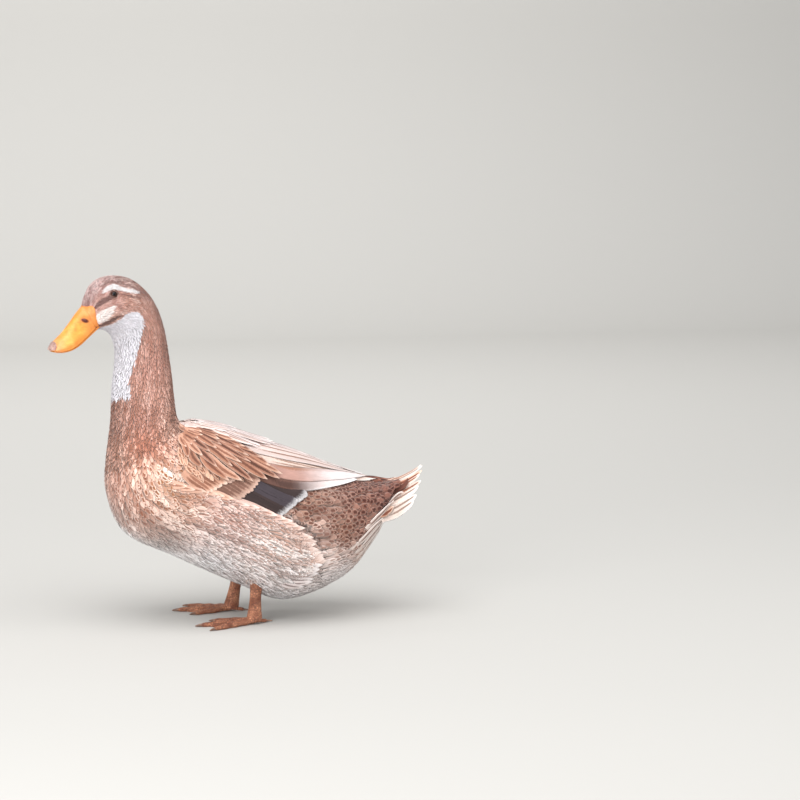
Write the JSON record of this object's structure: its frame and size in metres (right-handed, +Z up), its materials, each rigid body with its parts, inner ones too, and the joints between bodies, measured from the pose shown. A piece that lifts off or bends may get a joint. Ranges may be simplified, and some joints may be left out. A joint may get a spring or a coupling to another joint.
{
  "type": "duck",
  "caption": "Life-size still model of a golden cascade duck hen standing on webbed feet: fawn and buff feathers, white throat, orange bill, head turned a little to its left.",
  "frame": {"origin": "on the floor, below the middle of the bounding box", "axes": "+Z up, the duck faces -X, its left side is -Y"},
  "size_m": [0.4691, 0.1738, 0.43],
  "materials": {
    "plumage": "soft feathers, fawn to buff",
    "wing": "sleek flight feathers, buff with a slate patch",
    "tail": "stiff cream tail feathers",
    "bill": "smooth horny skin, amber orange",
    "nail": "horn, pinkish brown",
    "eye": "wet, dark brown",
    "leg": "scaly skin, orange"
  },
  "bodies": {
    "root": {"head": "plumage", "neck": "plumage", "torso": "plumage", "wing_left": "wing", "wing_right": "wing", "tail": "tail", "upper_bill": "bill", "lower_bill": "bill", "bill_nail": "nail", "eye_left": "eye", "eye_right": "eye", "leg_left": "leg", "leg_right": "leg", "foot_left": "leg", "foot_right": "leg"}
  },
  "joints": []
}
